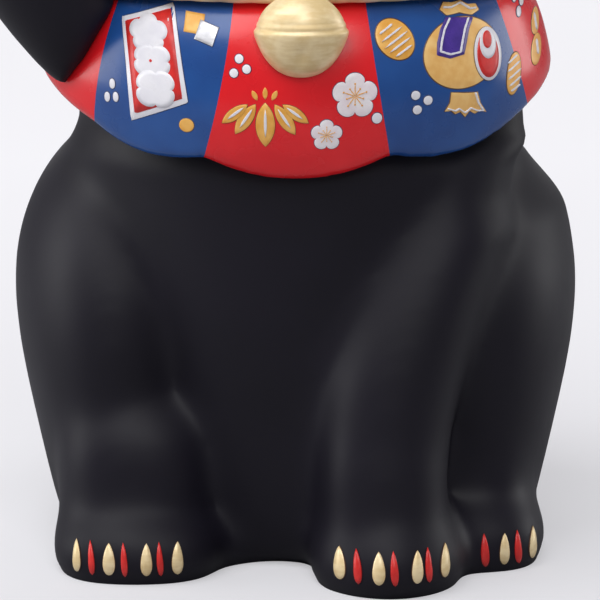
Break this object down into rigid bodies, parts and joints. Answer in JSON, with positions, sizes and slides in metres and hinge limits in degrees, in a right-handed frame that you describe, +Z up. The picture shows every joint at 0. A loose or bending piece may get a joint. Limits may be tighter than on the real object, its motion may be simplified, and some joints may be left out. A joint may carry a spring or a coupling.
{
  "type": "beckoning cat figurine",
  "caption": "Seated cast ceramic cat coin bank with one paw raised, a glazed relief bib, a gilt bell, a coin slot in the back and a pull-out base stopper.",
  "frame": {"origin": "in the base plane, on the stopper hole's axis", "axes": "+Z up; the cat looks along -Y; its own left is +X"},
  "size_m": [0.1844, 0.1759, 0.286],
  "materials": {
    "black_glaze": "matte black glaze",
    "bare_clay": "bare fired clay",
    "red_enamel": "glossy",
    "blue_enamel": "glossy",
    "cream_cord": "satin cream and gold",
    "gold_leaf": "matte brushed gilding",
    "gold_enamel": "satin gold enamel",
    "red_line": "glossy",
    "white_enamel": "glossy",
    "eye_enamel": "glossy",
    "pupil_enamel": "glossy",
    "purple_enamel": "glossy",
    "silver_leaf": "satin leaf",
    "stopper_rubber": "matte soft plastic"
  },
  "bodies": {
    "cat": {"bamboo_leaves": "gold_enamel", "base_disc": "bare_clay", "beckoning_arm": "black_glaze", "bell": "gold_leaf", "bib_centre_red_panel": "red_enamel", "bib_left_blue_panel": "blue_enamel", "bib_left_red_panel": "red_enamel", "bib_right_blue_panel": "blue_enamel", "bib_right_red_panel": "red_enamel", "blossom_stamens": "gold_enamel", "card_border": "white_enamel", "card_cloud": "white_enamel", "card_field": "red_line", "coin_bars": "white_enamel", "cord_bow": "cream_cord", "gold_dot": "gold_enamel", "gold_leaf_square": "gold_enamel", "head_shell": "black_glaze", "left_ear": "black_glaze", "left_ear_lining": "red_line", "left_eye": "eye_enamel", "left_haunch": "black_glaze", "left_hind_claws": "gold_leaf", "left_hind_paw": "black_glaze", "left_hind_toe_lines": "red_line", "left_pupil": "pupil_enamel", "mallet_band": "purple_enamel", "mallet_barrel": "gold_enamel", "mallet_cap": "gold_enamel", "mallet_eye": "red_line", "mallet_foot": "gold_enamel", "mallet_ring": "white_enamel", "mouth_line": "red_line", "neck_cord": "cream_cord", "nose": "red_line", "oval_coins": "gold_enamel", "plum_blossom_large": "white_enamel", "plum_blossom_small": "white_enamel", "raised_paw_claws": "gold_leaf", "raised_paw_toe_lines": "red_line", "right_ear": "black_glaze", "right_ear_lining": "red_line", "right_eye": "eye_enamel", "right_haunch": "black_glaze", "right_hind_claws": "gold_leaf", "right_hind_paw": "black_glaze", "right_hind_toe_lines": "red_line", "right_pupil": "pupil_enamel", "side_gourd": "gold_enamel", "silver_leaf_square": "silver_leaf", "standing_foreleg": "black_glaze", "standing_paw_claws": "gold_leaf", "standing_paw_toe_lines": "red_line", "tail": "black_glaze", "torso_shell": "black_glaze", "whiskers": "gold_leaf", "white_dots": "white_enamel"},
    "stopper": {"base_stopper": "stopper_rubber"}
  },
  "joints": [
    {"name": "stopper_pull", "type": "slide", "parent": "cat", "child": "stopper", "axis": [0, 0, -1], "range_m": [0, 0.025]}
  ]
}
